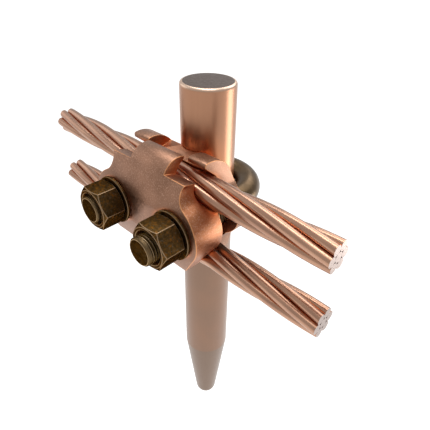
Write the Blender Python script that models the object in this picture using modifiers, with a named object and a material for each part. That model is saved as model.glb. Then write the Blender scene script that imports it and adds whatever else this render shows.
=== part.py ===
"""Earth rod clamp: a bolted clamp that joins two parallel stranded conductors to an earth rod.

X runs along the conductors, +Y points from the nuts to the bend of the U-bolt, and Z runs
up the rod. The origin is on the rod's axis, midway between the two conductors. Lengths are
in metres and angles in degrees.
"""

import math

import bmesh
import bpy
from mathutils import Matrix

MM = 0.001

# Earth rod
ROD_RADIUS = 9.525 * MM
ROD_ABOVE = 38.0 * MM
ROD_EDGE_RADIUS = 1.0 * MM
ROD_BELOW = 85.0 * MM
POINT_LENGTH = 41.0 * MM
POINT_NOSE_RADIUS = 5.0 * MM

# Stranded conductors: one straight core and six strands laid round it
STRAND_RADIUS = 1.56 * MM
STRAND_GAP = 0.12 * MM
WELD_SHARE = 0.01
LAY_LENGTH = 127.0 * MM
CONDUCTOR_REACHES = {"right": 62.9 * MM, "left": 63.8 * MM}
CONDUCTOR_SPACING = 23.5 * MM
LAID_STRANDS = 6
LAY_STEPS_PER_TURN = 20
LAY_PHASES = {"upper": 0.0, "lower": 6.0}

# U-bolt
BOLT_RADIUS = 4.7625 * MM
BOLT_TO_ROD = 0.4 * MM
THREAD_END_CHAMFER = 0.42 * MM
STAND_OUTS = {"right": 3.1 * MM, "left": 1.0 * MM}
BEND_STEPS = 24

# Nuts and washers
NUT_FLATS = 14.0 * MM
NUT_HEIGHT = 8.33 * MM
NUT_CHAMFER_ANGLE = 30.0
NUT_FACE_SHARE = 0.96
MOUTH_FLARE = 0.9 * MM
NUT_CLEARANCE = 0.2 * MM
WASHER_RADIUS = 8.45 * MM
WASHER_THICKNESS = 1.0 * MM
STACK_GAP = 0.2 * MM

# Clearances of the two saddles
ROD_SEAT_GAP = 0.3 * MM
BACK_CABLE_GAP = 0.35 * MM
FRONT_CABLE_GAP = 0.35 * MM
HOLE_CLEARANCE = 0.3 * MM

# Back saddle
BACK_WALL = 2.95 * MM
HOOK_RADIUS = 9.85 * MM
HOOK_SETBACK = 1.8 * MM
HOOK_DROP = 0.95 * MM
HOOK_SWEEP = 101.0
HOOK_NOSE_RADIUS = 0.6 * MM
HOOK_NOSE_DROP = 0.65 * MM
HOOK_UNDER_ANGLE = 228.0
FLANK_ANGLE = 24.0
REAR_SETBACK = 4.8 * MM
BACK_HALF_LENGTH = 17.25 * MM
BACK_BOSS_RADIUS = 9.05 * MM
BACK_BOSS_FILLET = 4.2 * MM
BACK_BOSS_FACE = 9.75 * MM
BOSS_RECESS_MARGIN = 0.4 * MM
NOTCH_HALF_WIDTH = 9.5 * MM
NOTCH_FLOOR = 16.95 * MM
NOTCH_SLOPE = 16.0
BACK_FOOT = 14.8 * MM

# Front saddle
FRONT_WALL = 7.4 * MM
WEB_SETBACK = 1.05 * MM
FACE_RISE = 2.9 * MM
UPPER_FACE_RADIUS = 31.6 * MM
LOWER_FACE_RADIUS = 75.0 * MM
SHOULDER_HEIGHT = 16.85 * MM
FRONT_FOOT = 14.2 * MM
SHOULDER_DRAFT = 14.5
LOBE_RADIUS = 7.04 * MM
LOBE_HALF_WIDTH = 8.2 * MM
LOBE_MOUTH_RADIUS = 9.3 * MM
LOBE_TIP_RADIUS = 0.6 * MM
FRONT_BOSS_RADIUS = 10.7 * MM
WAIST_HALF_WIDTH = 16.67 * MM
WAIST_FILLET = 5.1 * MM
WAIST_FLARE = 27.1
FOOT_HALF_WIDTH = 18.3 * MM
FOOT_CORNER = 1.4 * MM

# How far a cutter runs past what it cuts
OVERRUN = 2.0 * MM

# Worked out from the sizes above
CONDUCTOR_RADIUS = 3 * STRAND_RADIUS + STRAND_GAP
LAY_RADIUS = 2 * STRAND_RADIUS + STRAND_GAP
CONDUCTOR_Z = CONDUCTOR_SPACING / 2
BACK_GROOVE = CONDUCTOR_RADIUS + BACK_CABLE_GAP
FRONT_GROOVE = CONDUCTOR_RADIUS + FRONT_CABLE_GAP
ROD_GROOVE = ROD_RADIUS + ROD_SEAT_GAP
BACK_FACE_Y = -(ROD_GROOVE + BACK_WALL)
CONDUCTOR_Y = BACK_FACE_Y - BACK_GROOVE
FRONT_FACE_Y = CONDUCTOR_Y - FRONT_GROOVE - FRONT_WALL
LEG_X = ROD_RADIUS + BOLT_TO_ROD + BOLT_RADIUS
HOLE_RADIUS = BOLT_RADIUS + HOLE_CLEARANCE
WASHER_Y = FRONT_FACE_Y - STACK_GAP - WASHER_THICKNESS / 2
NUT_Y = FRONT_FACE_Y - 2 * STACK_GAP - WASHER_THICKNESS - NUT_HEIGHT / 2
NUT_FRONT_Y = NUT_Y - NUT_HEIGHT / 2

# Which way the plane of a flat outline faces: its first axis, its second and its depth
SIDE_VIEW = Matrix(((0, 0, 1, 0), (1, 0, 0, 0), (0, 1, 0, 0), (0, 0, 0, 1)))
FRONT_VIEW = Matrix(((1, 0, 0, 0), (0, 0, -1, 0), (0, 1, 0, 0), (0, 0, 0, 1)))
SIDES = {"right": 1, "left": -1}


def clear_scene():
    """Removes every object of the scene."""
    for obj in list(bpy.data.objects):
        bpy.data.objects.remove(obj, do_unlink=True)


def make_collection(name):
    """A new collection in the scene."""
    collection = bpy.data.collections.new(name)
    bpy.context.scene.collection.children.link(collection)
    return collection


def make_material(name, colour, roughness, metallic):
    """A Principled material."""
    material = bpy.data.materials.new(name)
    material.use_nodes = True
    shader = material.node_tree.nodes["Principled BSDF"]
    shader.inputs["Base Color"].default_value = (*colour, 1.0)
    shader.inputs["Roughness"].default_value = roughness
    shader.inputs["Metallic"].default_value = metallic
    material.diffuse_color = (*colour, 1.0)
    return material


def arc(centre, radius, start, end, steps):
    """Points on a circle from the angle start to the angle end, both included."""
    turns = [math.radians(start + (end - start) * i / steps) for i in range(steps + 1)]
    return [(centre[0] + radius * math.cos(t), centre[1] + radius * math.sin(t)) for t in turns]


def angle_of(point, centre):
    """The direction from centre to point."""
    return math.degrees(math.atan2(point[1] - centre[1], point[0] - centre[0]))


def tangent_angle(point, centre, radius, side):
    """Where a line from point touches the circle, on its left (1) or right (-1) side."""
    opening = math.degrees(math.acos(radius / math.dist(point, centre)))
    return angle_of(point, centre) + side * opening


def offset(point, angle, distance):
    """The point at a distance along a direction."""
    turn = math.radians(angle)
    return (point[0] + distance * math.cos(turn), point[1] + distance * math.sin(turn))


def meeting(first, first_radius, second, second_radius):
    """Where two circles cross, on the right of the way from the first to the second."""
    gap = math.dist(first, second)
    along = (first_radius**2 - second_radius**2 + gap**2) / (2 * gap)
    course = angle_of(second, first)
    return offset(offset(first, course, along), course - 90, math.sqrt(first_radius**2 - along**2))


def rounded(before, corner, after, radius, steps):
    """The arc that rounds the corner between two straight edges."""
    towards = angle_of(before, corner)
    away = angle_of(after, corner)
    half = (away - towards + 180) % 360 - 180
    reach = radius / abs(math.tan(math.radians(half / 2)))
    centre = offset(corner, towards + half / 2, radius / abs(math.sin(math.radians(half / 2))))
    start = angle_of(offset(corner, towards, reach), centre)
    end = angle_of(offset(corner, away, reach), centre)
    sweep = (end - start + 180) % 360 - 180
    return arc(centre, radius, start, start + sweep, steps)


def place(obj, collection, material, sharp_angle=32.0):
    """Puts an object in its collection, with its material and smooth round faces."""
    collection.objects.link(obj)
    obj.data.materials.append(material)
    obj.data.shade_smooth()
    obj.data.set_sharp_from_angle(angle=math.radians(sharp_angle))
    return obj


def mesh_of_curve(name, curve, matrix):
    """A closed mesh object made from a filled or bevelled curve."""
    guide = bpy.data.objects.new(name + "_guide", curve)
    bpy.context.scene.collection.objects.link(guide)
    graph = bpy.context.evaluated_depsgraph_get()
    mesh = bpy.data.meshes.new_from_object(guide.evaluated_get(graph))
    bpy.data.objects.remove(guide, do_unlink=True)
    mesh.name = name
    shape = bmesh.new()
    shape.from_mesh(mesh)
    bmesh.ops.remove_doubles(shape, verts=shape.verts, dist=STRAND_GAP * WELD_SHARE)
    bmesh.ops.recalc_face_normals(shape, faces=shape.faces)
    shape.to_mesh(mesh)
    shape.free()
    obj = bpy.data.objects.new(name, mesh)
    obj.matrix_world = matrix
    return obj


def prism(name, outline, half_depth, view):
    """A flat outline given a thickness to both sides of its plane."""
    curve = bpy.data.curves.new(name, "CURVE")
    curve.dimensions = "2D"
    curve.fill_mode = "BOTH"
    curve.extrude = half_depth
    spline = curve.splines.new("POLY")
    spline.points.add(len(outline) - 1)
    for point, (u, v) in zip(spline.points, outline):
        point.co = (u, v, 0, 1)
    spline.use_cyclic_u = True
    return mesh_of_curve(name, curve, view)


def tube(name, path, radius, sides_step, shares=None):
    """A round bar along a path, with an optional share of the radius at each point."""
    curve = bpy.data.curves.new(name, "CURVE")
    curve.dimensions = "3D"
    curve.bevel_depth = radius
    curve.bevel_resolution = sides_step
    curve.use_fill_caps = True
    spline = curve.splines.new("POLY")
    spline.points.add(len(path) - 1)
    for index, (point, place_at) in enumerate(zip(spline.points, path)):
        point.co = (*place_at, 1)
        point.radius = shares[index] if shares else 1
    return mesh_of_curve(name, curve, Matrix.Identity(4))


def turned(name, profile, steps, ring=False):
    """A profile in the XZ plane, turned round Z. It runs down its outer side."""
    mesh = bpy.data.meshes.new(name)
    last = len(profile) - 1
    edges = [(i, i + 1) for i in range(last)]
    if ring:
        edges.append((last, 0))
    mesh.from_pydata([(r, 0, z) for r, z in profile], edges, [])
    obj = bpy.data.objects.new(name, mesh)
    screw = obj.modifiers.new("turn", "SCREW")
    screw.steps = steps
    screw.render_steps = steps
    screw.use_merge_vertices = True
    screw.merge_threshold = STRAND_GAP * WELD_SHARE
    screw.use_smooth_shade = True
    return obj


def boolean(obj, cutters, cutter, operation="DIFFERENCE"):
    """Adds a Boolean modifier, and hides its cutter from the render."""
    if cutter.name not in cutters.objects:
        cutters.objects.link(cutter)
    cutter.hide_render = True
    cutter.display_type = "WIRE"
    modifier = obj.modifiers.new(cutter.name, "BOOLEAN")
    modifier.operation = operation
    modifier.object = cutter
    modifier.solver = "EXACT"


def cylinder(name, radius, depth, steps):
    """A cylinder about its own Z axis."""
    mesh = bpy.data.meshes.new(name)
    shape = bmesh.new()
    bmesh.ops.create_cone(
        shape,
        cap_ends=True,
        segments=steps,
        radius1=radius,
        radius2=radius,
        depth=depth,
    )
    shape.to_mesh(mesh)
    shape.free()
    return bpy.data.objects.new(name, mesh)


def lay_along_y(obj, x, y):
    """Turns an object's Z axis to the front and puts it on a leg of the U-bolt."""
    obj.rotation_euler = (math.pi / 2, 0, 0)
    obj.location = (x, y, 0)
    return obj


def earth_rod(parts, material):
    """A round bar with a rounded top edge and a tapered point."""
    tip = -(ROD_BELOW + POINT_LENGTH)
    nose = (0, tip + POINT_NOSE_RADIUS)
    shoulder = (ROD_RADIUS, -ROD_BELOW)
    touch = tangent_angle(shoulder, nose, POINT_NOSE_RADIUS, -1)
    edge = (ROD_RADIUS - ROD_EDGE_RADIUS, ROD_ABOVE - ROD_EDGE_RADIUS)
    profile = [(0, ROD_ABOVE)]
    profile += arc(edge, ROD_EDGE_RADIUS, 90, 0, 4)
    profile += [shoulder]
    profile += arc(nose, POINT_NOSE_RADIUS, touch, -90, 6)
    profile[-1] = (0, tip)
    place(turned("earth_rod", profile, 48), parts, material)


def laid_strand(name, z, phase):
    """One strand of a conductor, laid round the core and cut square at both ends."""
    span = sum(CONDUCTOR_REACHES.values())
    steps = math.ceil(LAY_STEPS_PER_TURN * span / LAY_LENGTH)
    path = []
    for index in range(-1, steps + 2):
        x = -CONDUCTOR_REACHES["left"] + span * index / steps
        turn = math.radians(phase) + 2 * math.pi * x / LAY_LENGTH
        y = CONDUCTOR_Y + LAY_RADIUS * math.cos(turn)
        path.append((x, y, z + LAY_RADIUS * math.sin(turn)))
    obj = tube(name, path, STRAND_RADIUS, 3)
    shape = bmesh.new()
    shape.from_mesh(obj.data)
    for side, sign in SIDES.items():
        cut = bmesh.ops.bisect_plane(
            shape,
            geom=shape.verts[:] + shape.edges[:] + shape.faces[:],
            plane_co=(sign * CONDUCTOR_REACHES[side], 0, 0),
            plane_no=(sign, 0, 0),
            clear_outer=True,
        )
        rim = [piece for piece in cut["geom_cut"] if isinstance(piece, bmesh.types.BMEdge)]
        bmesh.ops.contextual_create(shape, geom=rim)
    bmesh.ops.recalc_face_normals(shape, faces=shape.faces)
    shape.to_mesh(obj.data)
    shape.free()
    return obj


def conductor(row, z, parts, material):
    """A straight core and its laid strands, all cut off square."""
    ends = [(SIDES[side] * reach, CONDUCTOR_Y, z) for side, reach in CONDUCTOR_REACHES.items()]
    core = tube(row + "_conductor_core", ends, STRAND_RADIUS, 3)
    place(core, parts, material)
    for index in range(LAID_STRANDS):
        phase = LAY_PHASES[row] + 360 * index / LAID_STRANDS
        strand = laid_strand(f"{row}_conductor_strand_{index + 1}", z, phase)
        place(strand, parts, material)


def u_bolt(parts, material):
    """Two threaded legs and a half-round bend that passes behind the rod."""
    bend = arc((0, 0), LEG_X, 0, 180, BEND_STEPS)
    right = NUT_FRONT_Y - STAND_OUTS["right"]
    left = NUT_FRONT_Y - STAND_OUTS["left"]
    path = [(LEG_X, right), (LEG_X, right + THREAD_END_CHAMFER)]
    path += bend
    path += [(-LEG_X, left + THREAD_END_CHAMFER), (-LEG_X, left)]
    tip_share = 1 - THREAD_END_CHAMFER / BOLT_RADIUS
    shares = [tip_share] + [1] * (len(path) - 2) + [tip_share]
    bar = tube("u_bolt", [(x, y, 0) for x, y in path], BOLT_RADIUS, 8, shares)
    place(bar, parts, material)


def hex_nut(side, parts, cutters, material, carrier):
    """A hexagon nut, chamfered on both faces, with a flared mouth at each end of its bore."""
    corner = NUT_FLATS / 2 / math.cos(math.radians(30))
    face = NUT_FLATS / 2 * NUT_FACE_SHARE
    half = NUT_HEIGHT / 2
    slope = math.tan(math.radians(NUT_CHAMFER_ANGLE))
    reach = corner + OVERRUN
    rim = half - (reach - face) * slope
    peak = half + face * slope
    chamfers = [(0, peak), (reach, rim), (reach, -rim), (0, -peak)]
    x = SIDES[side] * LEG_X
    flats = arc((0, 0), corner, 0, 300, 5)
    nut = lay_along_y(prism(f"nut_{side}", flats, half, Matrix.Identity(4)), x, NUT_Y)
    barrel = turned(f"nut_{side}_chamfers", chamfers, 48)
    boolean(nut, cutters, lay_along_y(barrel, x, NUT_Y), "INTERSECT")
    bore = BOLT_RADIUS + NUT_CLEARANCE
    mouth = bore + MOUTH_FLARE
    hollow = [(0, half + MOUTH_FLARE), (mouth + MOUTH_FLARE, half + MOUTH_FLARE)]
    hollow += [(bore, half - MOUTH_FLARE), (bore, MOUTH_FLARE - half)]
    hollow += [(mouth + MOUTH_FLARE, -half - MOUTH_FLARE), (0, -half - MOUTH_FLARE)]
    boolean(nut, cutters, lay_along_y(turned(f"nut_{side}_bore", hollow, 32), x, NUT_Y))
    place(nut, parts, material)
    nut.parent = carrier


def washer(side, parts, material, carrier):
    """A flat ring between the nut and the front saddle."""
    half = WASHER_THICKNESS / 2
    bore = BOLT_RADIUS + NUT_CLEARANCE
    section = [(WASHER_RADIUS, half), (WASHER_RADIUS, -half), (bore, -half), (bore, half)]
    ring = turned(f"washer_{side}", section, 40, ring=True)
    lay_along_y(ring, SIDES[side] * LEG_X, WASHER_Y)
    place(ring, parts, material)
    ring.parent = carrier


def mirrored(outline):
    """A right-hand half outline and its mirror image, as one closed outline."""
    return outline + [(-u, v) for u, v in reversed(outline)]


def fillet_centre(edge, fillet, boss_radius):
    """The centre of the fillet between a straight side of a saddle and its boss."""
    u = edge + fillet
    return (u, math.sqrt((boss_radius + fillet) ** 2 - (u - LEG_X) ** 2))


def boss_and_fillet(edge, fillet, boss_radius, flare):
    """The right edge of a saddle, from a flare above the fillet down to the bolt's level."""
    centre = fillet_centre(edge, fillet, boss_radius)
    meet = angle_of(centre, (LEG_X, 0))
    side = arc(centre, fillet, 180 - flare, 180 + meet, 8)
    return side + arc((LEG_X, 0), boss_radius, meet, 0, 8)[1:]


def back_side_profile():
    """The back saddle seen from its end, as (y, z): hook, flanks, foot and grooves."""
    hook = (CONDUCTOR_Y + HOOK_SETBACK, CONDUCTOR_Z - HOOK_DROP)
    upper = (CONDUCTOR_Y, CONDUCTOR_Z)
    crest = offset(hook, HOOK_SWEEP, HOOK_RADIUS)
    nose = offset(crest, HOOK_SWEEP + 180, HOOK_NOSE_RADIUS)
    low_nose = (nose[0], nose[1] - HOOK_NOSE_DROP)
    under = offset(low_nose, HOOK_UNDER_ANGLE, HOOK_NOSE_RADIUS)
    flank_top = offset(hook, FLANK_ANGLE, HOOK_RADIUS)
    drop = (-REAR_SETBACK - flank_top[0]) / math.tan(math.radians(FLANK_ANGLE))
    flank_end = (-REAR_SETBACK, flank_top[1] - drop)
    low_hook = (hook[0], -hook[1])
    foot_angle = math.degrees(math.asin((BACK_FOOT - hook[1]) / HOOK_RADIUS))
    foot_wrap = math.degrees(math.asin((BACK_FOOT - CONDUCTOR_Z) / BACK_GROOVE))
    touch = tangent_angle(under, upper, BACK_GROOVE, -1)
    outline = arc(low_nose, HOOK_NOSE_RADIUS, HOOK_UNDER_ANGLE, 180, 3)
    outline += arc(nose, HOOK_NOSE_RADIUS, 180, HOOK_SWEEP, 4)
    outline += arc(hook, HOOK_RADIUS, HOOK_SWEEP, FLANK_ANGLE, 14)[1:]
    outline += [flank_end, (flank_end[0], -flank_end[1])]
    outline += arc(low_hook, HOOK_RADIUS, -FLANK_ANGLE, -foot_angle, 2)
    outline += arc((upper[0], -upper[1]), BACK_GROOVE, -foot_wrap, 0, 5)
    outline += arc(upper, BACK_GROOVE, 0, touch, 8)
    return outline


def back_saddle(parts, cutters, material):
    """The casting between the rod and the conductors, with two hooks over the upper one."""
    length = LEG_X + BACK_BOSS_RADIUS + OVERRUN
    top = CONDUCTOR_Z - HOOK_DROP + HOOK_RADIUS + OVERRUN
    saddle = prism("back_saddle", back_side_profile(), length, SIDE_VIEW)
    edge = boss_and_fillet(BACK_HALF_LENGTH, BACK_BOSS_FILLET, BACK_BOSS_RADIUS, 0)
    upper_half = [(BACK_HALF_LENGTH, top)] + edge
    outline = upper_half + [(u, -v) for u, v in reversed(upper_half[:-1])]
    plan = prism("back_saddle_plan", mirrored(outline), length * 2, FRONT_VIEW)
    boolean(saddle, cutters, plan, "INTERSECT")
    boolean(saddle, cutters, cylinder("rod_groove", ROD_GROOVE, 4 * top, 64))
    run = BACK_GROOVE * 2
    rise = run * math.tan(math.radians(NOTCH_SLOPE))
    floor = [(-ROD_RADIUS + run, NOTCH_FLOOR + rise), (-ROD_RADIUS - run, NOTCH_FLOOR - rise)]
    above = [(-ROD_RADIUS - run, top + OVERRUN), (-ROD_RADIUS + run, top + OVERRUN)]
    boolean(saddle, cutters, prism("notch", floor + above, NOTCH_HALF_WIDTH, SIDE_VIEW))
    for side, sign in SIDES.items():
        recess_depth = -BACK_FACE_Y - BACK_BOSS_FACE + OVERRUN
        recess = cylinder(
            f"boss_recess_{side}", BACK_BOSS_RADIUS + BOSS_RECESS_MARGIN, recess_depth, 40
        )
        recess_y = -BACK_BOSS_FACE - recess_depth / 2
        boolean(saddle, cutters, lay_along_y(recess, sign * LEG_X, recess_y))
        hole = cylinder(f"back_hole_{side}", HOLE_RADIUS, -2 * BACK_FACE_Y, 32)
        boolean(saddle, cutters, lay_along_y(hole, sign * LEG_X, BACK_FACE_Y))
    place(saddle, parts, material)


def front_side_profile():
    """The front saddle seen from its end, as (y, z): bowed face, lobe, web and grooves."""
    upper = (CONDUCTOR_Y, CONDUCTOR_Z)
    lower = (CONDUCTOR_Y, -CONDUCTOR_Z)
    bow = (FRONT_FACE_Y + UPPER_FACE_RADIUS, FACE_RISE)
    low_bow = (FRONT_FACE_Y + LOWER_FACE_RADIUS, FACE_RISE)
    shoulder = math.degrees(math.asin((SHOULDER_HEIGHT - FACE_RISE) / UPPER_FACE_RADIUS))
    below = FRONT_FOOT + OVERRUN
    foot = math.degrees(math.asin((below + FACE_RISE) / LOWER_FACE_RADIUS))
    start = offset(bow, 180 - shoulder, UPPER_FACE_RADIUS)
    lobe = offset(start, -shoulder, LOBE_RADIUS)
    mouth = (CONDUCTOR_Y - FRONT_GROOVE + LOBE_MOUTH_RADIUS, CONDUCTOR_Z)
    tip = meeting(mouth, LOBE_MOUTH_RADIUS + LOBE_TIP_RADIUS, lobe, LOBE_RADIUS - LOBE_TIP_RADIUS)
    lobe_end = angle_of(tip, lobe)
    mouth_end = angle_of(tip, mouth)
    web = math.degrees(math.asin(WEB_SETBACK / FRONT_GROOVE))
    foot_meet = 180 + math.degrees(math.asin((below - CONDUCTOR_Z) / FRONT_GROOVE))
    outline = arc(low_bow, LOWER_FACE_RADIUS, 180 + foot, 180, 8)
    outline += arc(bow, UPPER_FACE_RADIUS, 180, 180 - shoulder, 10)[1:]
    outline += arc(lobe, LOBE_RADIUS, 180 - shoulder, lobe_end, 10)[1:]
    outline += arc(tip, LOBE_TIP_RADIUS, lobe_end, mouth_end - 180, 5)[1:]
    outline += arc(mouth, LOBE_MOUTH_RADIUS, mouth_end, 180, 8)[1:]
    outline += arc(upper, FRONT_GROOVE, 180, 270 - web, 8)[1:]
    outline += arc(lower, FRONT_GROOVE, 90 + web, foot_meet, 8)
    return outline


def front_saddle(parts, cutters, material, carrier):
    """The outer casting, bowed in front, with a lobe that reaches over the upper conductor."""
    length = LEG_X + FRONT_BOSS_RADIUS + OVERRUN
    top = SHOULDER_HEIGHT + LOBE_RADIUS * 2
    saddle = prism("front_saddle", front_side_profile(), length, SIDE_VIEW)
    edge = boss_and_fillet(WAIST_HALF_WIDTH, WAIST_FILLET, FRONT_BOSS_RADIUS, WAIST_FLARE)
    flank = edge[0][0] + (top - edge[0][1]) * math.tan(math.radians(WAIST_FLARE))
    foot_corner = (FOOT_HALF_WIDTH, -FRONT_FOOT)
    boss = (LEG_X, 0)
    leave = tangent_angle(foot_corner, boss, FRONT_BOSS_RADIUS, 1)
    outline = [(flank, top)] + edge
    outline += arc(boss, FRONT_BOSS_RADIUS, 0, leave, 5)[1:]
    foot_start = offset(boss, leave, FRONT_BOSS_RADIUS)
    outline += rounded(foot_start, foot_corner, (0, -FRONT_FOOT), FOOT_CORNER, 4)
    plan = prism("front_saddle_plan", mirrored(outline), -FRONT_FACE_Y + OVERRUN, FRONT_VIEW)
    boolean(saddle, cutters, plan, "INTERSECT")
    run = FRONT_WALL + FRONT_GROOVE * 2
    fall = run * math.tan(math.radians(SHOULDER_DRAFT))
    face_y = FRONT_FACE_Y + UPPER_FACE_RADIUS
    face_y -= math.sqrt(UPPER_FACE_RADIUS**2 - (SHOULDER_HEIGHT - FACE_RISE) ** 2)
    drafted = [(face_y - run, SHOULDER_HEIGHT + fall), (face_y + run, SHOULDER_HEIGHT - fall)]
    drafted += [(face_y + run, top), (face_y - run, top)]
    for side, sign in SIDES.items():
        shoulder = prism(f"shoulder_draft_{side}", drafted, length / 2, SIDE_VIEW)
        shoulder.location.x = sign * (LOBE_HALF_WIDTH + length / 2)
        boolean(saddle, cutters, shoulder)
        hole = cylinder(f"front_hole_{side}", HOLE_RADIUS, -2 * FRONT_FACE_Y, 32)
        boolean(saddle, cutters, lay_along_y(hole, sign * LEG_X, FRONT_FACE_Y))
    place(saddle, parts, material)
    saddle.parent = carrier


def main():
    """Builds the clamp, the rod stub and the two conductor stubs."""
    clear_scene()
    parts = make_collection("earth_rod_clamp")
    cutters = make_collection("cutters")
    rod_copper = make_material("rod_copper", (0.42, 0.26, 0.18), 0.30, 1.0)
    strand_copper = make_material("strand_copper", (0.58, 0.30, 0.18), 0.22, 1.0)
    cast_copper = make_material("cast_copper", (0.42, 0.22, 0.15), 0.50, 1.0)
    dark_bronze = make_material("dark_bronze", (0.10, 0.06, 0.03), 0.45, 1.0)
    smooth_bronze = make_material("smooth_bronze", (0.17, 0.12, 0.08), 0.35, 1.0)
    jaw = bpy.data.objects.new("jaw", None)
    parts.objects.link(jaw)
    earth_rod(parts, rod_copper)
    conductor("upper", CONDUCTOR_Z, parts, strand_copper)
    conductor("lower", -CONDUCTOR_Z, parts, strand_copper)
    u_bolt(parts, smooth_bronze)
    back_saddle(parts, cutters, cast_copper)
    front_saddle(parts, cutters, cast_copper, jaw)
    for side in SIDES:
        washer(side, parts, dark_bronze, jaw)
        hex_nut(side, parts, cutters, dark_bronze, jaw)


main()
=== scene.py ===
"""Dresses the packed earth rod clamp: fine meshes and finishes for the rod, the stranded
conductors, the cast saddles, the U-bolt, the nuts and the washers, in a plain studio.

X runs along the conductors, +Y points from the nuts to the U-bolt's bend, and Z runs up the
rod. Lengths are in metres unless a name ends in _mm, and angles in radians unless it ends
in _deg.
"""

import logging
import math
from dataclasses import dataclass
from enum import Enum

import bmesh
import bpy
from mathutils import Matrix, Vector

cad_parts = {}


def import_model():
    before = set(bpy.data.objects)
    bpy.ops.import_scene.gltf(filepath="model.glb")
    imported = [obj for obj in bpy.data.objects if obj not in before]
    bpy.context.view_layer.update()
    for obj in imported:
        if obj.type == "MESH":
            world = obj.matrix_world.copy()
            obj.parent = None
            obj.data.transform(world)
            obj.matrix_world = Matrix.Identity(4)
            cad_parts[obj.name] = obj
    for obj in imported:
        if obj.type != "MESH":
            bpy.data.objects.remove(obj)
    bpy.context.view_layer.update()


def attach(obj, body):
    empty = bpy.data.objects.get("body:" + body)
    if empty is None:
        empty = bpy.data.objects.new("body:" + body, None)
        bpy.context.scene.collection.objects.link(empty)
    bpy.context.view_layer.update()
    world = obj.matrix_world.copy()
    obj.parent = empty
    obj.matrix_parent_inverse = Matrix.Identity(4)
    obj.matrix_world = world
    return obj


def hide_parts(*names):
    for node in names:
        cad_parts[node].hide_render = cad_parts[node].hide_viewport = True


LOG = logging.getLogger("earth_rod_clamp")
MM = 0.001

FIXED_BODY = "rod_and_conductors"
JAW_BODY = "front_jaw"

ALONG_X = (1.0, 0.0, 0.0)
ALONG_Y = (0.0, 1.0, 0.0)
ALONG_Z = (0.0, 0.0, 1.0)

MERGE_DISTANCE = 0.01 * MM
CUT_TOLERANCE = 1e-7

# A Mix node's sockets for colours, whose names are those of its sockets for numbers too
MIX_UNDER = 6
MIX_OVER = 7
MIX_RESULT = 2

Socket = bpy.types.NodeSocket
Point = tuple[float, float, float]
MeshParts = list[bmesh.types.BMVert | bmesh.types.BMEdge | bmesh.types.BMFace]


class Side(Enum):
    """The two legs of the U-bolt, with the sign of their X."""

    RIGHT = 1
    LEFT = -1


def linear(code: str) -> tuple[float, float, float, float]:
    """Turns an sRGB hex colour to linear.

    Args:
        code: Six hex digits.

    Returns:
        The linear colour with an alpha of 1.
    """
    channels = [int(code[i : i + 2], 16) / 255 for i in (0, 2, 4)]
    low = [c / 12.92 for c in channels]
    high = [((c + 0.055) / 1.055) ** 2.4 for c in channels]
    picked = [a if c <= 0.04045 else b for c, a, b in zip(channels, low, high)]
    return (picked[0], picked[1], picked[2], 1.0)


def add_node(
    tree: bpy.types.NodeTree, kind: str, inputs: dict, out: int | str = 0, **settings
) -> Socket:
    """Adds a node, sets it, and fills or links its inputs.

    Args:
        tree: The node tree to add to.
        kind: The node's type, without its ShaderNode prefix.
        inputs: Input name or index to a value, or to the output that feeds it.
        out: The name or index of the output that is returned.
        settings: Properties of the node itself.

    Returns:
        One of the node's outputs, or its first input where it has none.
    """
    node = tree.nodes.new("ShaderNode" + kind)
    for name, value in settings.items():
        setattr(node, name, value)
    for name, value in inputs.items():
        if isinstance(value, Socket):
            tree.links.new(value, node.inputs[name])
        else:
            node.inputs[name].default_value = value
    return node.outputs[out] if node.outputs else node.inputs[0]


def per_mm(size_mm: float) -> float:
    """The noise scale, in cells per metre, that gives features of a size in millimetres."""
    return 1.0 / (size_mm * MM)


@dataclass(frozen=True)
class Finish:
    """A metal surface. Each kind says what it is and how it was made, and sets the shader."""

    name = "metal"
    smoothest: float = 0.3
    roughest: float = 0.4

    def rough_range(self) -> dict:
        """What a MapRange node takes to turn a noise into roughness.

        Returns:
            The node's inputs but its Value, by name.
        """
        return {
            "From Min": 0.3,
            "From Max": 0.7,
            "To Min": self.smoothest,
            "To Max": self.roughest,
        }

    def material(self) -> bpy.types.Material:
        """Makes the material at the first call, and shares it after that.

        Returns:
            The material.
        """
        made = bpy.data.materials.get(self.name)
        if made is None:
            made = bpy.data.materials.new(self.name)
            made.use_nodes = True
            tree = made.node_tree
            tree.nodes.clear()
            surface = add_node(tree, "BsdfPrincipled", {"Metallic": 1.0, **self.inputs(tree)})
            add_node(tree, "OutputMaterial", {"Surface": surface})
        return made

    def inputs(self, tree: bpy.types.NodeTree) -> dict:
        """The shader's inputs.

        Args:
            tree: The material's node tree.

        Returns:
            The inputs that aren't left at their defaults, by name.
        """
        raise NotImplementedError


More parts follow.
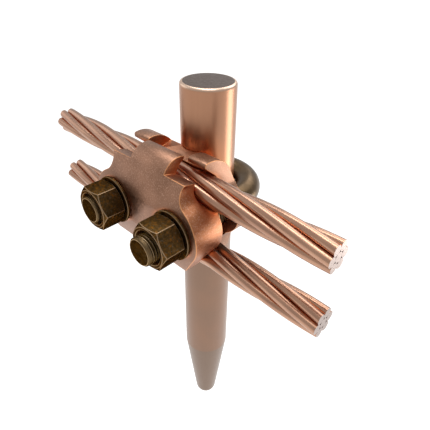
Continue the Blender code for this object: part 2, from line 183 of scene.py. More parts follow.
@dataclass(frozen=True)
class SandCastCopper(Finish):
    """Copper alloy as cast in sand and lightly blasted: a matt, finely pitted, brown pink skin.

    Handling has rubbed its edges to bright orange copper. Painted shade darkens the skin beside
    what stands on it, the most occluded corners are painted redder as light bounced between
    copper faces, and the faces that look along X are painted warmer as copper light thrown onto
    them.
    """

    name = "sand_cast_copper"
    skin: str = "A37A63"
    dull: str = "8E6954"
    # painted shade: a darker skin beside what stands on it
    painted_shade: str = "5E4436"
    glint: str = "C99E86"
    # painted reflection: redder copper light bounced into the most occluded corners
    painted_reflection: str = "EC9462"
    edge: str = "DE9D6C"
    # painted reflection: warm copper light thrown onto the faces that look along X
    side_reflection: str = "A96C48"
    grain_mm: float = 0.42  # the real grit is about 0.3 mm, which a render can't show
    cloud_mm: float = 8.0
    reach_mm: float = 9.0  # how far away a neighbour still counts in the occlusion that places the painted shade and the painted reflection
    glint_share: float = 0.8
    painted_shade_strength: float = 0.62
    smoothest: float = 0.34
    roughest: float = 0.46
    relief_mm: float = 0.075

    def inputs(self, tree: bpy.types.NodeTree) -> dict:
        """Slow clouds of tone, a glinting grain, painted side reflection, painted shade and
        reflection from occlusion, and rubbed edges by worn.

        Args:
            tree: The material's node tree.

        Returns:
            The shader's inputs, by name.
        """
        place = add_node(tree, "TexCoord", {}, "Object")
        clouds = add_node(
            tree, "TexNoise", {"Vector": place, "Scale": per_mm(self.cloud_mm), "Detail": 2.0}
        )
        grain = add_node(
            tree,
            "TexNoise",
            {"Vector": place, "Scale": per_mm(self.grain_mm), "Detail": 2.0, "Roughness": 0.6},
        )
        open_share = add_node(tree, "AmbientOcclusion", {"Distance": self.reach_mm * MM}, "AO")
        cloudy = add_node(tree, "MapRange", {"Value": clouds, "From Min": 0.35, "From Max": 0.65})
        # painted reflection on the faces that look along X, as the mesh marks them
        side_share = add_node(tree, "Attribute", {}, "Fac", attribute_name="side_reflection")
        glinting = add_node(
            tree,
            "MapRange",
            {"Value": grain, "From Min": 0.5, "From Max": 0.75, "To Max": self.glint_share},
        )
        # painted shade: its share grows as the occlusion closes in beside what stands on the skin
        corner = add_node(
            tree,
            "MapRange",
            {"Value": open_share, "From Min": 0.97, "From Max": 0.72, "To Max": self.painted_shade_strength},
        )
        # the painted shade is kept off the faces that take the painted side reflection
        shade_mask = add_node(
            tree, "Math", {0: corner, 1: side_share}, operation="SUBTRACT", use_clamp=True
        )
        # painted reflection: its share grows where the occlusion is strongest
        painted_reflection_share = add_node(
            tree, "MapRange", {"Value": open_share, "From Min": 0.78, "From Max": 0.33}
        )
        worn = add_node(tree, "Attribute", {}, "Fac", attribute_name="worn")
        colour = linear(self.dull)
        for share, over in (
            (cloudy, self.skin),
            (side_share, self.side_reflection),
            (glinting, self.glint),
            (shade_mask, self.painted_shade),
            (painted_reflection_share, self.painted_reflection),
            (worn, self.edge),
        ):
            layer = {0: share, MIX_UNDER: colour, MIX_OVER: linear(over)}
            colour = add_node(tree, "Mix", layer, MIX_RESULT, data_type="RGBA")
        rough = add_node(tree, "MapRange", {"Value": grain, **self.rough_range()})
        normal = add_node(
            tree, "Bump", {"Height": grain, "Distance": self.relief_mm * MM, "Strength": 0.8}
        )
        return {"Base Color": colour, "Roughness": rough, "Normal": normal}


@dataclass(frozen=True)
class DrawnRodCopper(Finish):
    """Copper-clad rod, cold drawn: a satin skin with faint draw lines, painted darker toward the
    point as shade, and greyer still on the cone. Near the clamp it is painted redder as the
    clamp's reflection, and its top edge carries a painted highlight. Heights are from the U-bolt's
    level."""

    name = "drawn_rod_copper"
    bright: str = "A57A60"
    # painted shade: the darker tone toward the point, over random patches
    dull: str = "876D5D"
    # painted reflection: the clamp's redder copper seen in the rod beside it
    painted_reflection: str = "CC8A64"
    cone: str = "7A6658"
    # painted highlight along the rounded top edge
    painted_rim_highlight: str = "DDBFA9"
    line_mm: float = 0.5
    line_length_mm: float = 30.0
    patch_mm: float = 20.0
    reach_mm: float = 11.0  # how far away a neighbour still counts in the occlusion that places the painted reflection
    bright_to_mm: float = 20.0
    dull_from_mm: float = -30.0
    cone_from_mm: float = -85.0
    cone_blur_mm: float = 0.1
    rim_highlight_from_mm: float = 37.0
    rim_highlight_by_mm: float = 37.6
    smoothest: float = 0.3
    roughest: float = 0.36
    relief_mm: float = 0.003

    def inputs(self, tree: bpy.types.NodeTree) -> dict:
        """Draw lines along Z, painted shade toward the point over random patches, a painted
        reflection near the clamp and a painted highlight on the top edge.

        Args:
            tree: The material's node tree.

        Returns:
            The shader's inputs, by name.
        """
        place = add_node(tree, "TexCoord", {}, "Object")
        squeeze = self.line_mm / self.line_length_mm
        drawn = add_node(tree, "Mapping", {"Vector": place, "Scale": (1.0, 1.0, squeeze)})
        lines = add_node(
            tree, "TexNoise", {"Vector": drawn, "Scale": per_mm(self.line_mm), "Detail": 3.0}
        )
        patches = add_node(
            tree, "TexNoise", {"Vector": place, "Scale": per_mm(self.patch_mm), "Detail": 2.0}
        )
        height = add_node(tree, "SeparateXYZ", {"Vector": place}, "Z")
        # painted shade: none above bright_to_mm, full from dull_from_mm on toward the point
        shade_downward = add_node(
            tree,
            "MapRange",
            {
                "Value": height,
                "From Min": self.bright_to_mm * MM,
                "From Max": self.dull_from_mm * MM,
            },
        )
        uneven = add_node(
            tree,
            "MapRange",
            {"Value": patches, "From Min": 0.3, "From Max": 0.7, "To Min": -0.15, "To Max": 0.15},
        )
        dulled = add_node(tree, "Math", {0: shade_downward, 1: uneven}, operation="ADD", use_clamp=True)
        open_share = add_node(tree, "AmbientOcclusion", {"Distance": self.reach_mm * MM}, "AO")
        # painted reflection near the clamp, from the occlusion
        painted_reflection_share = add_node(tree, "MapRange", {"Value": open_share, "From Min": 0.95, "From Max": 0.5})
        tapering = add_node(
            tree,
            "MapRange",
            {
                "Value": height,
                "From Min": (self.cone_from_mm + self.cone_blur_mm) * MM,
                "From Max": (self.cone_from_mm - self.cone_blur_mm) * MM,
            },
        )
        # painted highlight: a pale band at the height of the rounded top edge
        top_edge = add_node(
            tree,
            "MapRange",
            {
                "Value": height,
                "From Min": self.rim_highlight_from_mm * MM,
                "From Max": self.rim_highlight_by_mm * MM,
            },
        )
        colour = linear(self.bright)
        for share, over in (
            (dulled, self.dull),
            (painted_reflection_share, self.painted_reflection),
            (tapering, self.cone),
            (top_edge, self.painted_rim_highlight),
        ):
            layer = {0: share, MIX_UNDER: colour, MIX_OVER: linear(over)}
            colour = add_node(tree, "Mix", layer, MIX_RESULT, data_type="RGBA")
        rough = add_node(tree, "MapRange", {"Value": lines, **self.rough_range()})
        normal = add_node(
            tree, "Bump", {"Height": lines, "Distance": self.relief_mm * MM, "Strength": 0.2}
        )
        return {"Base Color": colour, "Roughness": rough, "Normal": normal}


@dataclass(frozen=True)
class SawnRodTop(Finish):
    """The rod's sawn and tumbled top: grey brown copper painted darker as the shade that the flat
    top takes, with fine marks.
    """

    name = "sawn_rod_top_painted_shade"
    # painted shade: the top's dark tone stands in for the shade that the flat top takes
    skin: str = "6E615A"
    mark: str = "62554E"
    mark_mm: float = 0.8
    smoothest: float = 0.36
    roughest: float = 0.46
    relief_mm: float = 0.015

    def inputs(self, tree: bpy.types.NodeTree) -> dict:
        """Fine marks over an even tone.

        Args:
            tree: The material's node tree.

        Returns:
            The shader's inputs, by name.
        """
        place = add_node(tree, "TexCoord", {}, "Object")
        marks = add_node(
            tree, "TexNoise", {"Vector": place, "Scale": per_mm(self.mark_mm), "Detail": 3.0}
        )
        share = add_node(tree, "MapRange", {"Value": marks, "From Min": 0.35, "From Max": 0.65})
        layer = {0: share, MIX_UNDER: linear(self.skin), MIX_OVER: linear(self.mark)}
        colour = add_node(tree, "Mix", layer, MIX_RESULT, data_type="RGBA")
        rough = add_node(tree, "MapRange", {"Value": marks, **self.rough_range()})
        normal = add_node(
            tree, "Bump", {"Height": marks, "Distance": self.relief_mm * MM, "Strength": 0.6}
        )
        return {"Base Color": colour, "Roughness": rough, "Normal": normal}


@dataclass(frozen=True)
class DrawnStrandCopper(Finish):
    """Bare drawn copper wire: bright, with hairline die marks along each strand, and painted
    redder between strands as the light they bounce to each other, under the thin clear film that
    the drawing leaves."""

    name = "drawn_strand_copper"
    skin: str = "B88B6F"
    dull: str = "AA7E65"
    # painted reflection: redder copper light bounced between neighbouring strands
    groove_reflection: str = "D08A5C"
    rim: str = "DCD6D0"  # at grazing angles
    mark_mm: float = 0.8
    mark_length_mm: float = 24.0
    patch_mm: float = 9.0
    reach_mm: float = 2.0  # how far away a neighbour still counts in the occlusion that places the painted reflection
    groove_reflection_strength: float = 0.8
    smoothest: float = 0.27
    roughest: float = 0.31
    film_roughness: float = 0.4

    def inputs(self, tree: bpy.types.NodeTree) -> dict:
        """Die marks and patches in the strand's own unrolled coordinates.

        Args:
            tree: The material's node tree.

        Returns:
            The shader's inputs, by name.
        """
        unrolled = add_node(tree, "Attribute", {}, "Vector", attribute_name="unrolled")
        squeeze = self.mark_mm / self.mark_length_mm
        along = add_node(tree, "Mapping", {"Vector": unrolled, "Scale": (1.0, 1.0, squeeze)})
        marks = add_node(
            tree, "TexNoise", {"Vector": along, "Scale": per_mm(self.mark_mm), "Detail": 3.0}
        )
        patches = add_node(
            tree, "TexNoise", {"Vector": unrolled, "Scale": per_mm(self.patch_mm), "Detail": 2.0}
        )
        dulled = add_node(tree, "MapRange", {"Value": patches, "From Min": 0.35, "From Max": 0.65})
        open_share = add_node(tree, "AmbientOcclusion", {"Distance": self.reach_mm * MM}, "AO")
        # painted reflection: its share grows in the crevices between strands
        painted_reflection_share = add_node(
            tree,
            "MapRange",
            {"Value": open_share, "From Min": 0.75, "From Max": 0.3, "To Max": self.groove_reflection_strength},
        )
        colour = linear(self.skin)
        for share, over in ((dulled, self.dull), (painted_reflection_share, self.groove_reflection)):
            layer = {0: share, MIX_UNDER: colour, MIX_OVER: linear(over)}
            colour = add_node(tree, "Mix", layer, MIX_RESULT, data_type="RGBA")
        rough = add_node(tree, "MapRange", {"Value": marks, **self.rough_range()})
        return {
            "Base Color": colour,
            "Roughness": rough,
            "Specular Tint": linear(self.rim),
            "Coat Weight": 1.0,
            "Coat Roughness": self.film_roughness,
        }


@dataclass(frozen=True)
class CutCopper(Finish):
    """Freshly cut copper on the conductors' ends: pale pink, with shear marks."""

    name = "cut_copper"
    skin: str = "9D8A81"
    mark: str = "908078"
    mark_mm: float = 0.6
    smoothest: float = 0.28
    roughest: float = 0.34
    relief_mm: float = 0.008

    def inputs(self, tree: bpy.types.NodeTree) -> dict:
        """Fine shear marks over pale copper.

        Args:
            tree: The material's node tree.

        Returns:
            The shader's inputs, by name.
        """
        place = add_node(tree, "TexCoord", {}, "Object")
        marks = add_node(
            tree, "TexNoise", {"Vector": place, "Scale": per_mm(self.mark_mm), "Detail": 3.0}
        )
        share = add_node(tree, "MapRange", {"Value": marks, "From Min": 0.35, "From Max": 0.7})
        layer = {0: share, MIX_UNDER: linear(self.skin), MIX_OVER: linear(self.mark)}
        colour = add_node(tree, "Mix", layer, MIX_RESULT, data_type="RGBA")
        rough = add_node(tree, "MapRange", {"Value": marks, **self.rough_range()})
        normal = add_node(
            tree, "Bump", {"Height": marks, "Distance": self.relief_mm * MM, "Strength": 0.5}
        )
        return {"Base Color": colour, "Roughness": rough, "Normal": normal}


@dataclass(frozen=True)
class OxidisedBronze(Finish):
    """Silicon bronze, hot forged and left with its oxide: brown black, mottled with rust orange
    and slate, and rubbed to tan along the edges."""

    name = "oxidised_bronze"
    dark: str = "40301A"
    brown: str = "5A4222"
    orange: str = "8A5414"
    slate: str = "5E5A50"
    rubbed: str = "A88D70"
    rim: str = "5E4E3A"  # at grazing angles
    mottle_mm: float = 0.95
    fleck_mm: float = 0.6
    fleck_shift: Point = (0.11, 0.07, 0.05)  # keeps the flecks apart from the mottle
    orange_share: float = 0.65
    slate_share: float = 0.75
    smoothest: float = 0.4
    roughest: float = 0.52
    relief_mm: float = 0.03

    def inputs(self, tree: bpy.types.NodeTree) -> dict:
        """Brown clouds, orange patches, slate flecks, and rubbed edges by worn.

        Args:
            tree: The material's node tree.

        Returns:
            The shader's inputs, by name.
        """
        place = add_node(tree, "TexCoord", {}, "Object")
        mottle = add_node(
            tree,
            "TexNoise",
            {"Vector": place, "Scale": per_mm(self.mottle_mm), "Detail": 4.0, "Roughness": 0.7},
        )
        shifted = add_node(tree, "Mapping", {"Vector": place, "Location": self.fleck_shift})
        fleck = add_node(
            tree,
            "TexNoise",
            {"Vector": shifted, "Scale": per_mm(self.fleck_mm), "Detail": 3.0, "Roughness": 0.7},
        )
        browning = add_node(
            tree, "MapRange", {"Value": mottle, "From Min": 0.38, "From Max": 0.58}
        )
        rusting = add_node(
            tree,
            "MapRange",
            {"Value": mottle, "From Min": 0.55, "From Max": 0.68, "To Max": self.orange_share},
        )
        slating = add_node(
            tree,
            "MapRange",
            {"Value": fleck, "From Min": 0.56, "From Max": 0.68, "To Max": self.slate_share},
        )
        worn = add_node(tree, "Attribute", {}, "Fac", attribute_name="worn")
        colour = linear(self.dark)
        for share, over in (
            (browning, self.brown),
            (rusting, self.orange),
            (slating, self.slate),
            (worn, self.rubbed),
        ):
            layer = {0: share, MIX_UNDER: colour, MIX_OVER: linear(over)}
            colour = add_node(tree, "Mix", layer, MIX_RESULT, data_type="RGBA")
        rough = add_node(tree, "MapRange", {"Value": mottle, **self.rough_range()})
        normal = add_node(
            tree, "Bump", {"Height": fleck, "Distance": self.relief_mm * MM, "Strength": 0.6}
        )
        return {
            "Base Color": colour,
            "Roughness": rough,
            "Normal": normal,
            "Specular Tint": linear(self.rim),
        }


@dataclass(frozen=True)
class RolledThreadBronze(OxidisedBronze):
    """Silicon bronze with a rolled thread: the same oxide, more even for the oil that it holds,
    and rubbed brighter on its crests."""

    name = "rolled_thread_bronze"
    dark: str = "43331C"
    brown: str = "523F22"
    orange: str = "634720"
    slate: str = "5A5242"
    rubbed: str = "C4A988"


@dataclass(frozen=True)
class BrownBronze(Finish):
    """Silicon bronze bar, rolled and cold bent: smooth, under a thin brown oxide."""

    name = "brown_bronze"
    skin: str = "6B563E"
    dark: str = "54432F"
    patch_mm: float = 5.0
    smoothest: float = 0.28
    roughest: float = 0.36
    relief_mm: float = 0.02

    def inputs(self, tree: bpy.types.NodeTree) -> dict:
        """Slow patches over a smooth skin.

        Args:
            tree: The material's node tree.

        Returns:
            The shader's inputs, by name.
        """
        place = add_node(tree, "TexCoord", {}, "Object")
        patches = add_node(
            tree, "TexNoise", {"Vector": place, "Scale": per_mm(self.patch_mm), "Detail": 3.0}
        )
        share = add_node(tree, "MapRange", {"Value": patches, "From Min": 0.35, "From Max": 0.65})
        layer = {0: share, MIX_UNDER: linear(self.skin), MIX_OVER: linear(self.dark)}
        colour = add_node(tree, "Mix", layer, MIX_RESULT, data_type="RGBA")
        rough = add_node(tree, "MapRange", {"Value": patches, **self.rough_range()})
        normal = add_node(
            tree, "Bump", {"Height": patches, "Distance": self.relief_mm * MM, "Strength": 0.3}
        )
        return {"Base Color": colour, "Roughness": rough, "Normal": normal}


@dataclass(frozen=True)
class Finishes:
    """Every finish of the clamp."""

    cast: Finish = SandCastCopper()
    rod: Finish = DrawnRodCopper()
    rod_top: Finish = SawnRodTop()
    strand: Finish = DrawnStrandCopper()
    cut: Finish = CutCopper()
    oxide: Finish = OxidisedBronze()
    thread: Finish = RolledThreadBronze()
    shank: Finish = BrownBronze()


def finish_mesh(
    shape: bmesh.types.BMesh, name: str, finishes: list[Finish], sharp_deg: float
) -> bpy.types.Object:
    """Makes an object of a bmesh, dressed and smooth.

    Args:
        shape: The bmesh, which is freed.
        name: The object's name.
        finishes: One finish for each material slot.
        sharp_deg: Edges bent more than this stay sharp.

    Returns:
        The object, in the scene.
    """
    mesh = bpy.data.meshes.new(name)
    shape.to_mesh(mesh)
    shape.free()
    for item in finishes:
        mesh.materials.append(item.material())
    mesh.shade_smooth()
    mesh.set_sharp_from_angle(angle=math.radians(sharp_deg))
    piece = bpy.data.objects.new(name, mesh)
    bpy.context.scene.collection.objects.link(piece)
    return piece


def round_outwards(shape: bmesh.types.BMesh) -> None:
    """Merges the seams of a closed shape and points its faces outwards."""
    bmesh.ops.remove_doubles(shape, verts=shape.verts, dist=MERGE_DISTANCE)
    bmesh.ops.recalc_face_normals(shape, faces=shape.faces)


def profile_wire(
    shape: bmesh.types.BMesh, points: list[Vector], closed: bool = False
) -> MeshParts:
    """Adds a wire through points.

    Args:
        shape: The bmesh to add to.
        points: The wire's points.
        closed: Whether the last point joins the first.

    Returns:
        The wire's vertices and edges.
    """
    verts = [shape.verts.new(point) for point in points]
    pairs = list(zip(verts, verts[1:]))
    if closed:
        pairs.append((verts[-1], verts[0]))
    return verts + [shape.edges.new(pair) for pair in pairs]


def spin_round(
    shape: bmesh.types.BMesh, wire: MeshParts, centre: Vector, axis: Vector, steps: int
) -> None:
    """Turns a wire a full circle round an axis.

    Args:
        shape: The bmesh.
        wire: The vertices and edges to turn.
        centre: A point on the axis.
        axis: The axis.
        steps: Segments of the full circle.
    """
    bmesh.ops.spin(
        shape,
        geom=wire,
        cent=centre,
        axis=axis,
        angle=2 * math.pi,
        steps=steps,
        use_merge=True,
    )
    round_outwards(shape)


def cut_square(shape: bmesh.types.BMesh, point: Vector, outward: Vector) -> MeshParts:
    """Cuts a shape off at a plane and closes the cut.

    Args:
        shape: The bmesh.
        point: A point on the plane.
        outward: The plane's normal, towards what is cut off.

    Returns:
        The faces that close the cut.
    """
    cut = bmesh.ops.bisect_plane(
        shape,
        geom=shape.verts[:] + shape.edges[:] + shape.faces[:],
        dist=CUT_TOLERANCE,
        plane_co=point,
        plane_no=outward,
        clear_outer=True,
    )
    rim = [item for item in cut["geom_cut"] if isinstance(item, bmesh.types.BMEdge)]
    made = bmesh.ops.contextual_create(shape, geom=rim)
    return made["faces"]


@dataclass
class RodStub:
    """The earth rod: rounded at the top edge, tapered to a round nose.

    The lengths are measured along Z from the U-bolt's level.
    """

    finishes: Finishes
    radius: float = 9.525 * MM
    top: float = 38.0 * MM
    edge: float = 1.0 * MM
    taper_start: float = -85.0 * MM
    tip: float = -126.0 * MM
    nose: float = 5.0 * MM
    support: float = 0.3 * MM  # rings this near to a bend keep the long faces flat
    cap_share: float = 0.6  # where a ring lies on the top, as a share of the flat's radius
    edge_steps: int = 8
    nose_steps: int = 16
    steps: int = 128
    sharp_deg: float = 35.0

    def profile(self) -> list[Vector]:
        """The half outline in the XZ plane, from the top's centre to the tip.

        Returns:
            The outline's points.
        """
        flat = self.radius - self.edge
        points = [Vector((0, 0, self.top)), Vector((flat * self.cap_share, 0, self.top))]
        for step in range(self.edge_steps + 1):
            turn = math.pi / 2 * (1 - step / self.edge_steps)
            reach = flat + self.edge * math.cos(turn)
            points.append(Vector((reach, 0, self.top - self.edge + self.edge * math.sin(turn))))
        side_top = self.top - self.edge - self.support
        side_end = self.taper_start + self.support
        points += [Vector((self.radius, 0, z)) for z in (side_top, 0.0, side_end)]
        centre = self.tip + self.nose
        reach = math.hypot(self.radius, self.taper_start - centre)
        base = math.atan2(self.taper_start - centre, self.radius)
        touch = base - math.acos(self.nose / reach)
        corner = Vector((self.radius, 0, self.taper_start))
        meeting = Vector((math.cos(touch), 0, math.sin(touch))) * self.nose
        meeting.z += centre
        slope = (meeting - corner).normalized() * self.support
        points += [corner, corner + slope, meeting - slope]
        for step in range(self.nose_steps + 1):
            turn = touch + (-math.pi / 2 - touch) * step / self.nose_steps
            points.append(
                Vector((self.nose * math.cos(turn), 0, centre + self.nose * math.sin(turn)))
            )
        return points

    def build(self) -> list[bpy.types.Object]:
        """Turns the profile and dresses it, with the sawn top in its own slot.

        Returns:
            The rod.
        """
        shape = bmesh.new()
        wire = profile_wire(shape, self.profile())
        spin_round(shape, wire, Vector(), Vector((0, 0, 1)), self.steps)
        rim = self.radius - self.edge
        for face in shape.faces:
            middle = face.calc_center_median()
            flat_on_top = abs(middle.z - self.top) < 2 * MERGE_DISTANCE
            if flat_on_top and math.hypot(middle.x, middle.y) < rim:
                face.material_index = 1
        finishes = [self.finishes.rod, self.finishes.rod_top]
        piece = finish_mesh(shape, "rod_stub", finishes, self.sharp_deg)
        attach(piece, FIXED_BODY)
        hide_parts("earth_rod")
        return [piece]


@dataclass
class Conductor:
    """A seven-strand conductor stub: a straight core and six strands laid round it."""

    finishes: Finishes
    row: str
    height: float
    phase_deg: float
    back: float = -17.925 * MM
    strand: float = 1.6 * MM  # a strand's radius
    lay_radius: float = 3.2 * MM
    lay_length: float = 127.0 * MM
    right: float = 62.9 * MM
    left: float = 63.8 * MM
    laid: int = 6
    sides: int = 28
    steps: int = 240
    sharp_deg: float = 40.0

    def section(self, shape: bmesh.types.BMesh, phase: float, reach: float) -> MeshParts:
        """A round section, square to the strand, at the left end.

        Args:
            shape: The bmesh to add to.
            phase: The strand's angle round the conductor at the left end.
            reach: The distance of the strand's centre from the conductor's axis.

        Returns:
            The section's vertices and edges.
        """
        ring = bmesh.ops.create_circle(shape, segments=self.sides, radius=self.strand)
        out = Vector((0, math.cos(phase), math.sin(phase)))
        lean = 2 * math.pi * reach / self.lay_length
        course = (Vector((1, 0, 0)) + lean * Vector((0, -out.z, out.y))).normalized()
        side = course.cross(out)
        turn = Matrix((out, side, course)).transposed().to_4x4()
        start = Vector((-self.left - self.strand, self.back, self.height)) + reach * out
        bmesh.ops.transform(shape, matrix=Matrix.Translation(start) @ turn, verts=ring["verts"])
        edges = {edge for vert in ring["verts"] for edge in vert.link_edges}
        return list(ring["verts"]) + list(edges)

    def strand_piece(self, name: str, phase: float, reach: float) -> bpy.types.Object:
        """One strand, swept along its lay, cut square and dressed.

        Args:
            name: The piece's name.
            phase: Its angle round the conductor at x = 0.
            reach: The distance of its centre from the conductor's axis.

        Returns:
            The strand's object.
        """
        shape = bmesh.new()
        start_x = -self.left - self.strand
        span = self.right + self.left + 2 * self.strand
        start_phase = phase + 2 * math.pi * start_x / self.lay_length
        ring = self.section(shape, start_phase, reach)
        bmesh.ops.spin(
            shape,
            geom=ring,
            cent=(0, self.back, self.height),
            axis=(1, 0, 0),
            dvec=(span / self.steps, 0, 0),
            angle=2 * math.pi * span / self.lay_length,
            steps=self.steps,
        )
        ends = cut_square(shape, Vector((self.right, 0, 0)), Vector((1, 0, 0)))
        ends += cut_square(shape, Vector((-self.left, 0, 0)), Vector((-1, 0, 0)))
        round_outwards(shape)
        for face in ends:
            face.material_index = 1
        self.unroll(shape, phase, reach)
        finishes = [self.finishes.strand, self.finishes.cut]
        return finish_mesh(shape, name, finishes, self.sharp_deg)

    def unroll(self, shape: bmesh.types.BMesh, phase: float, reach: float) -> None:
        """Stores each point's place on the strand as if it were straight.

        Its phase is added, so that no two strands show the same marks.

        Args:
            shape: The strand.
            phase: Its angle round the conductor at x = 0.
            reach: The distance of its centre from the conductor's axis.
        """
        layer = shape.verts.layers.float_vector.new("unrolled")
        for vert in shape.verts:
            turn = phase + 2 * math.pi * vert.co.x / self.lay_length
            out = Vector((0, math.cos(turn), math.sin(turn)))
            offset = vert.co - Vector((vert.co.x, self.back, self.height)) - reach * out
            across = Vector((0, -out.z, out.y))
            vert[layer] = Vector((offset.dot(out), offset.dot(across) + phase, vert.co.x))

    def build(self) -> list[bpy.types.Object]:
        """Builds the core and the strands laid round it.

        Returns:
            The strands, the core first.
        """
        pieces = []
        for index in range(self.laid + 1):
            node = f"{self.row}_conductor_" + (f"strand_{index}" if index else "core")
            phase = math.radians(self.phase_deg + 360 / self.laid * (index - 1))
            reach = self.lay_radius if index else 0.0
            piece = self.strand_piece(f"{self.row}_wire_{index}", phase, reach)
            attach(piece, FIXED_BODY)
            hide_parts(node)
            pieces.append(piece)
        return pieces


@dataclass
class Casting:
    """A cast saddle: the CAD casting with its edges rounded and rubbed."""

    finishes: Finishes
    node: str
    name: str
    body: str
    slot: str = "cast_copper"
    rounding: float = 0.2 * MM
    sharp_deg: float = 28.0  # edges bent more than this are rounded
    side_reflection_strength: float = 0.0  # how much painted reflection, warm copper light thrown from beside, the faces that look along X take
    cheek_lean: float = 0.5  # the least X of a normal that looks along X
    wear: float = 0.75
    segments: int = 3
    flat_deg: float = 0.6  # faces that bend less than this become one
    smooth_deg: float = 32.0  # edges bent more than this stay sharp

    def build(self) -> list[bpy.types.Object]:
        """Copies the CAD casting, merges it, rounds its edges and marks where they are worn.

        Returns:
            The casting.
        """
        shape = bmesh.new()
        shape.from_mesh(bpy.data.objects[self.node].data)
        round_outwards(shape)
        bmesh.ops.dissolve_limit(
            shape,
            angle_limit=math.radians(self.flat_deg),
            verts=shape.verts,
            edges=shape.edges,
        )
        limit = math.radians(self.sharp_deg)
        edges = [e for e in shape.edges if len(e.link_faces) == 2 and e.calc_face_angle(0) > limit]
        worn = shape.faces.layers.float.new("worn")
        rounded = bmesh.ops.bevel(
            shape,
            geom=edges,
            offset=self.rounding,
            affect="EDGES",
            segments=self.segments,
            profile=0.5,
            clamp_overlap=False,
            material=-1,
        )
        for face in rounded["faces"]:
            face[worn] = self.wear
        # painted reflection: the faces that look along X are marked to take it
        side_reflection = shape.faces.layers.float.new("side_reflection")
        shape.normal_update()
        for face in shape.faces:
            if abs(face.normal.x) > self.cheek_lean:
                face[side_reflection] = self.side_reflection_strength
        piece = finish_mesh(shape, self.name, [self.finish()], self.smooth_deg)
        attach(piece, self.body)
        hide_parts(self.node)
        return [piece]

    def finish(self) -> Finish:
        """The casting's finish."""
        return self.finishes.cast


class Nut(Casting):
    """A hexagon nut: the CAD nut with its edges broken and rubbed."""

    def finish(self) -> Finish:
        """The nut's finish."""
        return self.finishes.oxide


@dataclass
class Washer:
    """A flat washer with its edges broken."""

    finishes: Finishes
    side: Side
    leg_x: float = 14.6875 * MM
    radius: float = 8.45 * MM
    bore: float = 4.97 * MM
    front: float = -31.675 * MM
    thickness: float = 1.0 * MM
    edge: float = 0.2 * MM
    chamfer_from: float = 0.3  # the share of the edge that parts rim from chamfer
    wear: float = 0.4
    steps: int = 72
    sharp_deg: float = 30.0

    def build(self) -> list[bpy.types.Object]:
        """Turns the washer's section round the leg's axis, and rubs its broken edges.

        Returns:
            The washer.
        """
        centre = Vector((self.side.value * self.leg_x, 0, 0))
        corners = [
            (self.bore, self.front),
            (self.radius - self.edge, self.front),
            (self.radius, self.front + self.edge),
            (self.radius, self.front + self.thickness - self.edge),
            (self.radius - self.edge, self.front + self.thickness),
            (self.bore, self.front + self.thickness),
        ]
        shape = bmesh.new()
        points = [centre + Vector((reach, y, 0)) for reach, y in corners]
        wire = profile_wire(shape, points, closed=True)
        spin_round(shape, wire, centre, Vector((0, 1, 0)), self.steps)
        worn = shape.faces.layers.float.new("worn")
        for face in shape.faces:
            middle = face.calc_center_median() - centre
            inward = self.radius - math.hypot(middle.x, middle.z)
            if self.chamfer_from * self.edge < inward < self.edge:
                face[worn] = self.wear
        name = f"washer_{self.side.name.lower()}"
        piece = finish_mesh(shape, f"flat_{name}", [self.finishes.oxide], self.sharp_deg)
        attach(piece, JAW_BODY)
        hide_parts(name)
        return [piece]


